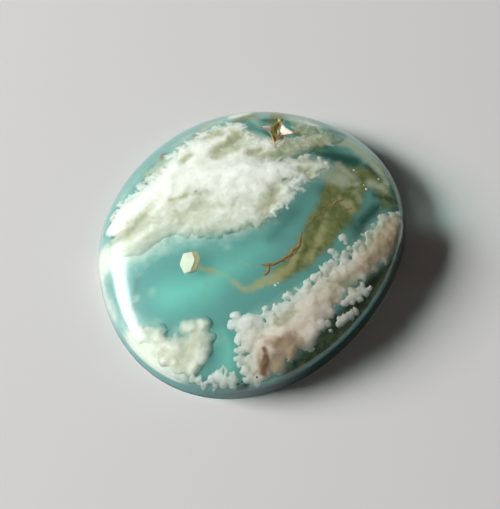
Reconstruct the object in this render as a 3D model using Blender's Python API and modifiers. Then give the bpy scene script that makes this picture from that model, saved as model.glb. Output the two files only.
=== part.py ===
"""A polished cabochon of plume agate: one stone with a domed face and a flat back.

The stone lies on its back at Z = 0. X runs along its longest extent and Z through its thickness.
A profile is turned round Z, then drawn out to the stone's own rounded, uneven outline. A small
star-shaped cavity with flat crystal walls is cut into the dome near its edge.
"""

import math

import bmesh
import bpy
from mathutils import Matrix, Vector

# Sizes are in metres and angles in degrees.
MEAN_RADIUS = 0.01871
THICKNESS = 0.0070
BACK_BEVEL = 0.00045

# The wall under the dome leans in a little and is taller on one side.
WALL_TOP = 0.0019
WALL_TOP_SWING = 0.0005
WALL_TOP_HIGH_SIDE = -91
WALL_LEAN = 0.00045

# The dome is a superellipse: full at the shoulder and nearly flat on top.
DOME_POWER_ACROSS = 2.2
DOME_POWER_UP = 1.61

# Waves in the outline: how many bulges, how far they reach out, where the first one is.
OUTLINE_WAVES = (
    (1, 0.00047, -60),  # one end fuller than the other
    (2, 0.00125, -1),  # oval
    (3, 0.00048, -36),  # three soft corners
    (4, 0.00007, 35),
    (5, 0.00009, -29),  # slight flats left by hand grinding
)

AROUND = 96
DOME_RINGS = 20
WALL_RINGS = 2

# The cavity is two crossed hollows, each with four flat walls that narrow to a small floor.
# Each arm has half its length, half its width and its turn from the cavity's own X.
CAVITY_RADIUS = 0.01415
CAVITY_ANGLE = 18.5
CAVITY_TURN = 34
CAVITY_DEPTH = 0.0009
CAVITY_FLOOR = 0.3
CAVITY_ARMS = ((0.0026, 0.0011, -11), (0.0024, 0.0012, 75))

STONE_COLOUR = (0.42, 0.60, 0.54, 1.0)
STONE_ROUGHNESS = 0.12

MERGE_DISTANCE = 0.00001


def clear_scene():
    for item in list(bpy.data.objects):
        bpy.data.objects.remove(item)


def new_collection(name):
    collection = bpy.data.collections.new(name)
    bpy.context.scene.collection.children.link(collection)
    return collection


def stone_material():
    material = bpy.data.materials.new("agate")
    material.use_nodes = True
    shader = material.node_tree.nodes["Principled BSDF"]
    shader.inputs["Base Color"].default_value = STONE_COLOUR
    shader.inputs["Roughness"].default_value = STONE_ROUGHNESS
    shader.inputs["Metallic"].default_value = 0.0
    return material


def outline_radius(angle):
    radius = MEAN_RADIUS
    for count, reach, crest in OUTLINE_WAVES:
        radius += reach * math.cos(count * (angle - math.radians(crest)))
    return radius


def wall_lift(angle):
    return WALL_TOP_SWING * math.cos(angle - math.radians(WALL_TOP_HIGH_SIDE))


def half_profile():
    """Points of the mean section, from the crown down the outside to the middle of the back."""
    dome_radius = MEAN_RADIUS - WALL_LEAN
    points = []
    for ring in range(DOME_RINGS + 1):
        turn = 0.5 * math.pi * ring / DOME_RINGS
        across = math.sin(turn) ** (2 / DOME_POWER_ACROSS)
        up = max(math.cos(turn), 0.0) ** (2 / DOME_POWER_UP)
        points.append((dome_radius * across, WALL_TOP + (THICKNESS - WALL_TOP) * up))
    for ring in range(1, WALL_RINGS + 1):
        down = ring / WALL_RINGS
        points.append((dome_radius + WALL_LEAN * down, WALL_TOP + (BACK_BEVEL - WALL_TOP) * down))
    points.append((MEAN_RADIUS - BACK_BEVEL, 0.0))
    points.append((0.0, 0.0))
    return points


def turned_blank():
    """Turn the profile into a round blank and return its mesh."""
    mesh = bpy.data.meshes.new("blank")
    shape = bmesh.new()
    corners = [shape.verts.new((across, 0.0, up)) for across, up in half_profile()]
    for upper, lower in zip(corners, corners[1:]):
        shape.edges.new((upper, lower))
    shape.to_mesh(mesh)
    shape.free()
    blank = bpy.data.objects.new("blank", mesh)
    bpy.context.scene.collection.objects.link(blank)
    screw = blank.modifiers.new("turn", "SCREW")
    screw.axis = "Z"
    screw.steps = AROUND
    screw.render_steps = AROUND
    screw.use_merge_vertices = True
    screw.merge_threshold = MERGE_DISTANCE
    bpy.context.view_layer.update()
    turned = blank.evaluated_get(bpy.context.evaluated_depsgraph_get())
    result = bpy.data.meshes.new_from_object(turned)
    bpy.data.objects.remove(blank)
    return result


def draw_to_outline(mesh):
    """Pull every ring of the blank out to the stone's outline and let the wall's top rise and fall."""
    for vertex in mesh.vertices:
        across = math.hypot(vertex.co.x, vertex.co.y)
        if across < MERGE_DISTANCE:
            continue
        angle = math.atan2(vertex.co.y, vertex.co.x)
        share = across / MEAN_RADIUS
        if vertex.co.z >= WALL_TOP - MERGE_DISTANCE:
            left_to_rise = (THICKNESS - vertex.co.z) / (THICKNESS - WALL_TOP)
            vertex.co.z += wall_lift(angle) * share**3 * left_to_rise
        elif vertex.co.z > BACK_BEVEL:
            vertex.co.z += wall_lift(angle) * (vertex.co.z - BACK_BEVEL) / (WALL_TOP - BACK_BEVEL)
        stretch = outline_radius(angle) / MEAN_RADIUS
        vertex.co.x *= stretch
        vertex.co.y *= stretch


def centre_over_origin(mesh):
    """Put the middle of the stone's box over the origin."""
    middle_x = (min(v.co.x for v in mesh.vertices) + max(v.co.x for v in mesh.vertices)) / 2
    middle_y = (min(v.co.y for v in mesh.vertices) + max(v.co.y for v in mesh.vertices)) / 2
    mesh.transform(Matrix.Translation((-middle_x, -middle_y, 0.0)))


def cavity_cutter(name, long_arm, short_arm, turn, place, collection):
    """A hollow's shape: a four-sided taper from above the surface down to a small floor."""
    shape = bmesh.new()
    bmesh.ops.create_cone(
        shape,
        cap_ends=True,
        segments=4,
        radius1=CAVITY_FLOOR,
        radius2=2.0 - CAVITY_FLOOR,
        depth=2.0,
    )
    # The taper's middle height is at the surface, where its half-width is 1.
    size = Matrix.Diagonal((long_arm, short_arm, CAVITY_DEPTH, 1.0))
    shape.transform(place @ Matrix.Rotation(math.radians(turn), 4, "Z") @ size)
    mesh = bpy.data.meshes.new(name)
    shape.to_mesh(mesh)
    shape.free()
    cutter = bpy.data.objects.new(name, mesh)
    cutter.hide_render = True
    cutter.display_type = "WIRE"
    collection.objects.link(cutter)
    return cutter


def cavity_place(stone):
    """Where the cavity is on the dome, with Z along the surface's normal."""
    bearing = math.radians(CAVITY_ANGLE)
    above = Vector((CAVITY_RADIUS * math.cos(bearing), CAVITY_RADIUS * math.sin(bearing), 2 * THICKNESS))
    _, spot, normal, _ = stone.ray_cast(above, Vector((0.0, 0.0, -1.0)))
    lean = Vector((0.0, 0.0, 1.0)).rotation_difference(normal).to_matrix().to_4x4()
    return Matrix.Translation(spot) @ lean @ Matrix.Rotation(math.radians(CAVITY_TURN), 4, "Z")


def make_stone(collection, cutters):
    mesh = turned_blank()
    draw_to_outline(mesh)
    centre_over_origin(mesh)
    mesh.name = "agate_cabochon"
    mesh.materials.clear()
    mesh.materials.append(stone_material())
    stone = bpy.data.objects.new("agate_cabochon", mesh)
    collection.objects.link(stone)
    bpy.context.view_layer.update()
    place = cavity_place(stone)
    for number, (long_arm, short_arm, turn) in enumerate(CAVITY_ARMS, start=1):
        cutter = cavity_cutter(f"cavity_arm_{number}", long_arm, short_arm, turn, place, cutters)
        cut = stone.modifiers.new(f"cavity_{number}", "BOOLEAN")
        cut.operation = "DIFFERENCE"
        cut.solver = "EXACT"
        cut.object = cutter
    mesh.shade_smooth()
    mesh.set_sharp_from_angle(angle=math.radians(30))
    return stone


clear_scene()
stone_collection = new_collection("dendritic_agate_specimen")
cutter_collection = new_collection("cutters")
make_stone(stone_collection, cutter_collection)
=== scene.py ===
import math
import random
import bpy
import bmesh
import numpy as np
from mathutils import Matrix, Vector, noise
from mathutils.bvhtree import BVHTree


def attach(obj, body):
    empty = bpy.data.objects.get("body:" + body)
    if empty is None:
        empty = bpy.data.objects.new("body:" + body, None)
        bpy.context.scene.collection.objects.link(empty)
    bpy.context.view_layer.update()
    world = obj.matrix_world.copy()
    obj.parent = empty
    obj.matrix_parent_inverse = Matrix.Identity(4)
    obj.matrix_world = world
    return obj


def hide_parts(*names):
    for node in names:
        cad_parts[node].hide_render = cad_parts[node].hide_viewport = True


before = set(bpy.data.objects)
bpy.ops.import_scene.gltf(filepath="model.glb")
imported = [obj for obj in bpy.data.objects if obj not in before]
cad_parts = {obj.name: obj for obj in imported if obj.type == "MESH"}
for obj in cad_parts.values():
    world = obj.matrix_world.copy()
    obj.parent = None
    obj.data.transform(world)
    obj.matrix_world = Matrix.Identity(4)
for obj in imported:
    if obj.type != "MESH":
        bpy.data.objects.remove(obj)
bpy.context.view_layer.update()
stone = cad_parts["agate_cabochon"]
mm = 0.001

# the view from above the near edge, as in the photograph
viewFrom = {
    "azimuth": -146,
    "elevation": 62,
    "distance": 166.2,
    "aim": (-1.90, -1.77, 3.2),
    "lens": 100,
    "nearest": 10,
}

# places on the stone are in millimetres, across and up as this view lays them on its plan
planTurn = Matrix.Rotation(math.radians(viewFrom["azimuth"] + 90), 2)


def linked(name, data):
    piece = bpy.data.objects.new(name, data)
    bpy.context.scene.collection.objects.link(piece)
    return piece


def partOfStone(piece):
    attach(piece, "root")


def dress(mesh, material):
    mesh.materials.clear()
    mesh.materials.append(material)


def meshFrom(shape, name):
    mesh = bpy.data.meshes.new(name)
    shape.to_mesh(mesh)
    shape.free()
    return mesh


def bakeModifiers(piece):
    shown = piece.evaluated_get(bpy.context.evaluated_depsgraph_get())
    mesh = bpy.data.meshes.new_from_object(shown)
    piece.modifiers.clear()
    piece.data = mesh
    return mesh


def rounded(piece, levels):
    smooth = piece.modifiers.new("round", "SUBSURF")
    smooth.levels = levels
    smooth.render_levels = levels


def surfaceTree(mesh):
    shape = bmesh.new()
    shape.from_mesh(mesh)
    tree = BVHTree.FromBMesh(shape)
    shape.free()
    return tree


polish = surfaceTree(stone.data)
overStone = 20 * mm


def dropOn(tree, spot):
    # the place on a surface straight under or over a spot, and its normal
    found, normal, _, _ = tree.ray_cast(Vector((spot.x, spot.y, overStone)), Vector((0, 0, -1)))
    return found, normal


def sunkBelow(across, up, depth):
    # a place below the polish, measured square to it
    place = planTurn @ Vector((across, up)) * mm
    spot, normal = dropOn(polish, place)
    return None if spot is None else spot - normal * depth * mm


# small helpers for materials
def newMaterial(name):
    material = bpy.data.materials.new(name)
    material.use_nodes = True
    return material, material.node_tree, material.node_tree.nodes["Principled BSDF"]


def feed(tree, socket, value):
    if isinstance(value, bpy.types.NodeSocket):
        tree.links.new(value, socket)
    else:
        socket.default_value = value


def mixColour(tree, share, under, over):
    node = tree.nodes.new("ShaderNodeMix")
    node.data_type = "RGBA"
    feed(tree, node.inputs[0], share)
    feed(tree, node.inputs[6], under)
    feed(tree, node.inputs[7], over)
    return node.outputs[2]


def mathOf(tree, operation, *values):
    node = tree.nodes.new("ShaderNodeMath")
    node.operation = operation
    for socket, value in zip(node.inputs, values):
        feed(tree, socket, value)
    return node.outputs[0]


noiseRoughness = 0.55


def noiseOf(tree, scale, detail, distortion):
    place = tree.nodes.new("ShaderNodeTexCoord")
    node = tree.nodes.new("ShaderNodeTexNoise")
    tree.links.new(place.outputs["Object"], node.inputs["Vector"])
    node.inputs["Scale"].default_value = scale
    node.inputs["Detail"].default_value = detail
    node.inputs["Distortion"].default_value = distortion
    node.inputs["Roughness"].default_value = noiseRoughness
    return node.outputs["Fac"]


def attributeOf(tree, name):
    node = tree.nodes.new("ShaderNodeAttribute")
    node.attribute_name = name
    return node.outputs["Fac"]


def rangeOf(tree, value, low, high):
    node = tree.nodes.new("ShaderNodeMapRange")
    node.interpolation_type = "SMOOTHSTEP"
    tree.links.new(value, node.inputs["Value"])
    node.inputs["From Min"].default_value = low
    node.inputs["From Max"].default_value = high
    return node.outputs["Result"]


def layOn(tree, under, share, grain, edge, over):
    # lays a colour over another by a stain's share. Its edge says how far grain frays it,
    # the shares where it starts and where it is full, and how much it covers there
    fray, start, full, cover = edge
    centred = mathOf(tree, "SUBTRACT", grain, 0.5)
    frayed = mathOf(tree, "MULTIPLY_ADD", centred, fray, share)
    laid = mathOf(tree, "MULTIPLY", rangeOf(tree, frayed, start, full), cover)
    return mixColour(tree, laid, under, over)


def mottledMaterial(name, look):
    material, tree, shader = newMaterial(name)
    mottled = mixColour(tree, noiseOf(tree, *look["grain"]), look["dark"], look["light"])
    tree.links.new(mottled, shader.inputs["Base Color"])
    shader.inputs["Roughness"].default_value = look["roughness"]
    return material


# stains, and the painted light and shade laid the same way, are strokes of (across, up, half-width) that
# fade out over a softness of their own
def strokeShare(places, strokes):
    share = np.zeros(len(places))
    for soft, points in strokes:
        for (ax, ay, aHalf), (bx, by, bHalf) in zip(points, points[1:] or points):
            start = np.array((ax, ay))
            along = np.array((bx, by)) - start
            part = np.clip((places - start) @ along / max(along @ along, 1e-9), 0, 1)
            apart = np.linalg.norm(places - start - part[:, None] * along, axis=1)
            inside = np.clip(0.5 + (aHalf + part * (bHalf - aHalf) - apart) / (2 * soft), 0, 1)
            share = np.maximum(share, inside * inside * (3 - 2 * inside))
    return share


def spotsOf(mesh):
    spots = np.empty(len(mesh.vertices) * 3)
    mesh.vertices.foreach_get("co", spots)
    return spots.reshape(-1, 3)


def addShare(mesh, name, share):
    layer = mesh.attributes.new(name, "FLOAT", "POINT")
    layer.data.foreach_set("value", share)


def stain(mesh, kinds):
    # each kind of stain goes on the mesh as an attribute of its own, from 0 to 1
    places = spotsOf(mesh)[:, :2] / mm @ np.array(planTurn)
    for name, strokes in kinds.items():
        addShare(mesh, name, strokeShare(places, strokes))


stains = {
    "milkAndRimReflection": [
        (2.2, [
            (-17.0, -3.2, 1.4), (-14.6, -2.3, 1.7), (-12.2, -0.9, 2.1), (-9.4, 1.4, 2.4), (-6.0, 1.3, 2.6),
            (-1.5, 1.9, 2.6), (1.5, 3.0, 2.0), (4.0, 5.0, 1.3), (6.0, 6.8, 0.9), (9.0, 8.8, 0.4),
        ]),
        (1.0, [
            (-9.5, 7.5, 1.6), (-6.0, 10.0, 2.4), (-2.5, 12.5, 2.4), (2.0, 11.6, 1.2),
            (5.0, 11.6, 0.6), (9.0, 13.2, 0.3),
        ]),
        (0.7, [
            (17.9, 1.4, 0.9), (16.0, -1.5, 0.9), (11.7, -5.8, 0.8), (7.0, -10.9, 1.3),
            (3.0, -14.0, 1.8), (1.0, -17.4, 1.0),
        ]),
        (1.5, [
            (-5.4, -12.8, 0.9), (-5.8, -14.4, 1.3), (-7.4, -16.5, 1.4), (-10.3, -14.8, 1.5),
            (-13.0, -12.6, 0.9),
        ]),
        # partly milk, partly painted reflection: this stroke paints the white of the window's reflection
        # along the lower-left rim
        (0.5, [(-13.4, -13.0, 0.4), (-11.4, -15.4, 0.5), (-9.3, -17.2, 0.5), (-7.6, -18.2, 0.3)]),
        (1.2, [(-17.0, -2.0, 0.9), (-17.2, -6.0, 0.7), (-15.5, -10.0, 0.6)]),
        (0.6, [(-1.8, 16.6, 0.5), (0.2, 17.4, 0.3)]),
        (0.7, [(7.0, 15.4, 0.5), (8.4, 15.2, 0.3)]),
    ],
    "mist": [
        (0.8, [(0.9, 15.8, 0.5), (1.5, 14.8, 0.3)]),
        (1.0, [(6.0, 16.0, 1.0), (7.6, 14.6, 1.3), (9.6, 13.8, 0.8)]),
        (0.9, [
            (6.4, 12.0, 0.6), (9.6, 12.8, 0.8), (12.4, 12.6, 0.9), (14.4, 10.9, 0.8),
            (15.8, 9.0, 0.7), (16.6, 7.4, 0.5),
        ]),
        (1.2, [(6.4, 8.6, 1.3), (9.0, 7.8, 1.5), (11.4, 6.8, 1.2)]),
        (0.9, [(10.8, 8.8, 0.5), (12.4, 7.6, 0.6), (13.0, 6.4, 0.5)]),
        (0.7, [(14.6, 6.9, 0.6), (16.2, 6.2, 0.6)]),
        (1.2, [(13.4, 4.2, 0.2), (12.8, 5.2, 0.2)]),
        (1.0, [(-12.0, 7.4, 0.2), (-9.6, 10.4, 0.2), (-6.4, 13.8, 0.3), (-3.4, 16.0, 0.2)]),
    ],
    "haze": [
        (0.9, [(-12.5, -8.3, 0.4)]),
        (0.8, [(-10.7, -7.8, 0.4)]),
        (0.9, [(-2.2, -2.9, 0.4)]),
        (2.0, [(-11.5, -3.4, 0.8)]),
        (2.0, [(-14.0, -11.0, 1.0), (-10.0, -11.6, 0.3)]),
        (1.4, [
            (-15.2, 4.6, 0.3), (-12.6, 7.6, 0.5), (-9.9, 10.2, 0.5), (-6.6, 13.2, 0.6), (-3.0, 15.8, 0.5),
        ]),
        (2.0, [
            (-15.0, -5.0, 0.5), (-11.0, -3.0, 0.9), (-7.0, -1.4, 1.2), (-2.5, -1.0, 1.2), (1.5, 0.4, 0.9),
        ]),
        (1.4, [(9.6, -4.6, 0.2), (12.6, -2.0, 0.6), (14.6, 0.2, 0.7), (16.4, 2.6, 0.4)]),
        (1.2, [(-1.6, -12.4, 0.3), (1.2, -10.8, 0.4), (4.0, -9.2, 0.4), (6.4, -7.4, 0.3)]),
        (1.4, [(-8.2, -12.8, 0.4), (-5.6, -11.8, 0.6), (-3.6, -13.6, 0.4)]),
    ],
    # painted light, partly the sea's own paler teal: the sea is painted brighter where the window's light
    # spreads through it, left of the middle and between the lower plumes
    "brightAndLit": [
        (4.0, [(-8.5, -8.5, 1.5), (-5.0, -7.5, 1.8), (-1.0, -5.0, 1.0), (2.0, -3.0, 0.5)]),
        (2.0, [(-2.6, -13.0, 0.1), (-2.0, -15.0, 0.7), (-2.2, -17.4, 1.0)]),
    ],
    "olive": [
        (1.0, [(12.0, 6.5, 2.4), (10.2, 2.2, 2.2), (8.2, -1.1, 1.9), (6.2, -4.1, 1.3), (4.0, -6.0, 0.9)]),
        (1.5, [(15.6, 7.0, 1.2), (16.6, 4.6, 0.8)]),
        (1.5, [(12.0, 7.4, 0.8), (14.8, 8.0, 1.3)]),
        (0.9, [(-1.0, 16.2, 0.6), (1.0, 16.8, 0.6)]),
        (0.8, [(3.7, 18.0, 0.9), (3.5, 15.6, 1.0)]),
        (0.8, [(6.2, 14.0, 0.6), (8.6, 11.6, 0.5)]),
        (1.0, [(-9.4, 9.8, 0.4), (-10.6, 8.8, 0.8), (-12.0, 7.2, 0.4)]),
        (1.0, [(-5.4, 14.4, 0.4), (-4.0, 15.6, 0.3)]),
    ],
    "straw": [
        (0.9, [(9.4, 1.6, 0.2), (8.7, -0.8, 0.5), (8.0, -2.4, 0.3), (6.9, -4.2, 0.4)]),
        (0.7, [
            (6.2, -1.4, 0.1), (6.0, -3.0, 0.3), (4.8, -5.2, 0.5), (3.2, -6.6, 0.7),
            (0.8, -7.9, 0.4), (-0.6, -7.9, 0.2),
        ]),
        (0.6, [
            (-0.6, -7.9, 0.2), (-1.4, -7.3, 0.25), (-2.1, -6.7, 0.1), (-3.0, -6.4, 0.2),
            (-3.8, -5.8, 0.35), (-4.8, -5.6, 0.15), (-5.6, -5.1, 0.25),
        ]),
        (0.6, [(10.9, 4.0, 0.4), (11.8, 3.4, 0.7), (12.2, 2.6, 0.4)]),
        (0.5, [(0.2, -5.1, 0.1), (-0.8, -4.8, 0.0)]),
        (0.5, [(10.4, -13.2, 0.2), (9.2, -14.2, 0.15)]),
        (0.5, [(7.6, -15.6, 0.2), (6.6, -16.4, 0.1)]),
    ],
    # hollows sink the clouds, and the plumes' colour darkens them to cream and olive, partly as painted
    # shade
    "hollow": [
        (1.0, [(-3.6, 9.6, 0.6), (-1.8, 11.2, 1.3), (-0.8, 13.0, 0.8)]),
        (0.8, [(0.4, 10.0, 0.5), (1.8, 10.4, 0.4)]),
        (1.0, [(-5.0, 12.6, 0.2), (-3.4, 13.4, 0.5)]),
        (1.2, [(4.4, 11.0, 0.8), (8.0, 12.2, 1.2), (12.0, 13.6, 1.2)]),
        (1.0, [(6.0, 15.0, 1.2), (9.6, 13.8, 1.2)]),
        (1.0, [(2.2, 9.6, 0.5), (5.0, 9.8, 0.8), (8.0, 11.2, 0.8)]),
        (0.8, [(-7.4, 9.4, 0.3), (-6.9, 10.0, 0.3)]),
        (1.2, [(-13.6, -0.2, 0.4), (-11.6, 2.2, 0.3)]),
        (1.0, [(1.8, 1.5, 0.3), (2.8, 2.8, 0.9), (3.4, 4.2, 0.7)]),
        (1.2, [(-6.0, -13.8, 0.2), (-7.4, -16.4, 0.4)]),
        (1.0, [(-10.8, -14.4, 0.3)]),
        (1.0, [(5.8, 9.2, 0.2), (8.6, 9.0, 0.3)]),
        (0.8, [(5.8, 7.8, 0.2), (7.6, 7.0, 0.5)]),
        (1.2, [(-9.0, 3.4, 0.1), (-5.0, 4.2, 0.0)]),
        (1.3, [(8.4, -8.2, 0.2), (10.2, -7.0, 0.5), (12.2, -7.2, 0.7)]),
        (0.8, [(15.4, 0.6, 0.2), (14.2, -2.4, 0.3)]),
        (0.8, [(3.6, -12.6, 0.2), (5.6, -11.0, 0.2)]),
    ],
    # painted shade, partly the sea's own darker teal: the sea is painted darker on the side away from the
    # window and beside and under the clouds
    "deepAndShaded": [
        (3.5, [(18.0, 10.0, 3.0), (19.0, -3.0, 2.5), (14.0, -10.5, 2.0), (7.0, -16.5, 1.5)]),
        (1.2, [(8.4, 10.4, 0.5), (10.2, 10.2, 1.0), (12.8, 9.6, 1.0)]),
        (3.0, [(9.0, 12.0, 0.6), (13.0, 8.0, 0.8), (13.0, 4.0, 0.4)]),
        (2.5, [(9.0, 5.0, 0.3), (13.5, -0.5, 0.8), (11.0, -6.0, 0.3)]),
        (3.0, [(5.5, 1.5, 0.0), (2.7, -1.8, 0.0)]),
        (0.8, [(2.3, 15.7, 0.3)]),
        (0.8, [(5.2, 15.6, 0.4)]),
        (0.6, [(6.9, 13.0, 0.2), (8.4, 12.8, 0.2)]),
        (0.6, [(10.0, 14.6, 0.3), (11.9, 14.0, 0.2)]),
        (1.8, [(-12.4, -6.2, 0.0), (-13.0, -10.0, 0.0)]),
        (1.2, [(13.4, 1.2, 0.7), (15.2, 3.4, 0.7), (17.0, 4.4, 0.4)]),
    ],
    "moss": [
        (1.0, [
            (16.8, -3.6, 0.8), (15.0, -6.4, 1.5), (12.8, -9.7, 1.9), (10.5, -12.4, 1.8),
            (8.2, -14.7, 1.6), (5.8, -16.8, 1.3), (4.4, -18.2, 0.9),
        ]),
        (0.8, [(14.4, 9.2, 0.4), (16.0, 8.0, 0.6)]),
        (0.7, [(15.0, 5.1, 0.2), (17.8, 4.8, 0.4)]),
        (0.9, [(13.4, 0.6, 0.2), (12.6, -0.8, 0.1)]),
    ],
    "gap": [
        (0.8, [
            (15.6, -4.6, 0.1), (14.4, -6.0, 0.5), (12.2, -9.6, 0.3), (10.6, -10.6, 0.3), (9.8, -12.0, 0.2),
        ]),
        (0.6, [(-1.0, -19.2, 0.3), (0.0, -18.6, 0.2)]),
    ],
    "rust": [
        (0.35, [(-9.9, 11.0, 0.35), (-10.1, 10.0, 0.15)]),
        (0.35, [(-6.2, 13.6, 0.3)]),
        (0.4, [(3.1, 11.3, 0.3), (3.2, 12.4, 0.6), (4.4, 12.9, 0.4)]),
    ],
    # tan on the plumes: the first two strokes, along the right-hand plume's lower side and its lower end,
    # are partly painted shade
    "tanAndShade": [
        (2.0, [
            (18.4, 4.0, 1.6), (17.8, 1.0, 2.2), (16.3, -1.1, 2.0), (14.2, -3.9, 1.2), (12.6, -5.6, 0.6),
        ]),
        (0.9, [(2.4, -14.4, 0.5), (5.2, -14.6, 1.5), (3.8, -17.0, 1.5)]),
        (0.8, [(1.4, -15.4, 0.4), (1.6, -17.4, 0.5)]),
        (1.2, [(8.0, 7.0, 0.6), (10.5, 8.0, 0.6)]),
        (2.0, [(-15.0, -0.5, 0.4), (-11.5, 0.5, 0.4)]),
        (1.2, [(8.8, -9.4, 0.2), (10.4, -8.8, 0.3)]),
    ],
    "umber": [
        (0.5, [(2.0, -15.2, 0.3), (2.2, -16.4, 0.5), (1.9, -17.6, 0.5)]),
        (0.6, [(3.4, -18.2, 0.4), (5.0, -17.4, 0.2)]),
        (0.6, [(18.6, 1.6, 0.3), (18.0, -0.8, 0.3)]),
    ],
    # partly the plumes' own pink, partly painted shade: the right-hand plumes, away from the window, are
    # painted a darker rose
    "roseAndShade": [
        (3.0, [(18.0, 0.0, 3.0), (12.0, -7.0, 3.0), (5.0, -14.0, 3.0), (0.0, -16.0, 2.5)]),
    ],
}


# the clear sea, and the stains, painted light and painted shade that are laid over it in this order, some
# of them mottled with a lighter colour. A noise is its scale, detail and distortion, and an edge is what
# layOn takes
sea = {
    "clear": (0.135, 0.335, 0.315, 1),
    "noises": {"fine": (900, 6, 0.6), "wide": (160, 4, 0.4), "patches": (700, 6, 1.2)},
    "patchSpan": (0.3, 0.7),
    "stains": {
        # painted light over the sea, partly its own paler teal
        "brightAndLit": {"noise": "wide", "edge": (0.5, 0.1, 1.1, 1), "colour": (0.20, 0.60, 0.51, 1)},
        # painted shade over the sea, partly its own darker teal
        "deepAndShaded": {"noise": "wide", "edge": (0.4, 0.1, 1.0, 1), "colour": (0.02, 0.08, 0.06, 1)},
        "olive": {
            "noise": "fine", "edge": (1.2, 0.1, 0.9, 1), "colour": (0.10, 0.13, 0.04, 1),
            "mottledBy": "patches", "light": (0.23, 0.22, 0.08, 1),
        },
        "straw": {"noise": "fine", "edge": (1.6, 0.1, 1.0, 0.85), "colour": (0.46, 0.40, 0.20, 1)},
        "moss": {
            "noise": "fine", "edge": (1.2, 0.1, 0.9, 1), "colour": (0.012, 0.030, 0.016, 1),
            "mottledBy": "patches", "light": (0.07, 0.09, 0.05, 1),
        },
        "mist": {"noise": "fine", "edge": (1.3, 0.15, 1.1, 0.85), "colour": (0.46, 0.48, 0.35, 1)},
        "gap": {"noise": "fine", "edge": (0.6, 0.2, 0.8, 1), "colour": (0.012, 0.018, 0.008, 1)},
        "rust": {"noise": "fine", "edge": (0.6, 0.3, 0.7, 1), "colour": (0.20, 0.09, 0.03, 1)},
        "haze": {"noise": "fine", "edge": (0.8, 0.1, 1.1, 0.55), "colour": (0.50, 0.66, 0.60, 1)},
        # milky haze, which along the lower-left rim also stands in for the window's reflection as painted
        # reflection
        "milkAndRimReflection": {
            "noise": "fine", "edge": (0.7, 0.1, 0.9, 1), "colour": (0.62, 0.63, 0.53, 1),
            "mottledBy": "wide", "light": (0.82, 0.82, 0.75, 1),
        },
    },
    # the wall's deeper water, partly painted shade that is darkest on the side away from the window
    "wall": [((0.1, 0.5), (0.11, 0.32, 0.32, 1)), ((0.65, 1.0), (0.02, 0.11, 0.11, 1))],
}


def seaColourGroup():
    tree = bpy.data.node_groups.new("seaColour", "ShaderNodeTree")
    tree.interface.new_socket("Colour", in_out="OUTPUT", socket_type="NodeSocketColor")
    end = tree.nodes.new("NodeGroupOutput")
    grains = {name: noiseOf(tree, *settings) for name, settings in sea["noises"].items()}
    grains["patches"] = rangeOf(tree, grains["patches"], *sea["patchSpan"])
    colour = sea["clear"]
    for name, look in sea["stains"].items():
        over = look["colour"]
        if "mottledBy" in look:
            over = mixColour(tree, grains[look["mottledBy"]], over, look["light"])
        colour = layOn(tree, colour, attributeOf(tree, name), grains[look["noise"]], look["edge"], over)
    wall = attributeOf(tree, "wall")
    for (start, full), water in sea["wall"]:
        colour = mixColour(tree, rangeOf(tree, wall, start, full), colour, water)
    tree.links.new(colour, end.inputs["Colour"])
    return tree


seaColour = seaColourGroup()


def seaColourIn(tree):
    node = tree.nodes.new("ShaderNodeGroup")
    node.node_tree = seaColour
    return node.outputs["Colour"]


# the polished skin: the solid's own shape, rounded smoothly
skin = {
    "mergeWithin": 0.002,
    "joinAngle": 20,
    "joinShapeAngle": 60,
    "backBelow": 0.1,
    "creaseAngle": 24,
    "shoulder": (1.0, 3.2),
    "shoulderCrease": 0.3,
    "edgeCrease": 0.9,
    "levels": 2,
    "tint": (0.90, 0.98, 0.96, 1),
    "roughness": 0.23,
    "coatRoughness": 0.05,
    "bending": 1.54,
    "absorb": (0.45, 0.86, 0.80, 1),
    "density": 45,
}


def mergedCopy(name):
    shape = bmesh.new()
    shape.from_mesh(stone.data)
    bmesh.ops.remove_doubles(shape, verts=shape.verts, dist=skin["mergeWithin"] * mm)
    bmesh.ops.join_triangles(
        shape,
        faces=shape.faces,
        angle_face_threshold=math.radians(skin["joinAngle"]),
        angle_shape_threshold=math.radians(skin["joinShapeAngle"]),
    )
    # the flat back becomes one face
    top = skin["backBelow"] * mm
    back = [face for face in shape.faces if max(vertex.co.z for vertex in face.verts) < top]
    bmesh.ops.dissolve_faces(shape, faces=back)
    crease = shape.edges.layers.float.new("crease_edge")
    low, high = skin["shoulder"]
    for edge in shape.edges:
        if len(edge.link_faces) == 2 and edge.calc_face_angle() > math.radians(skin["creaseAngle"]):
            # the shoulder over the wall is ground rounder than the cavity's and the back's edges
            onShoulder = low * mm < edge.verts[0].co.z < high * mm
            edge[crease] = skin["shoulderCrease"] if onShoulder else skin["edgeCrease"]
    mesh = meshFrom(shape, name)
    mesh.shade_smooth()
    return mesh


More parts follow.
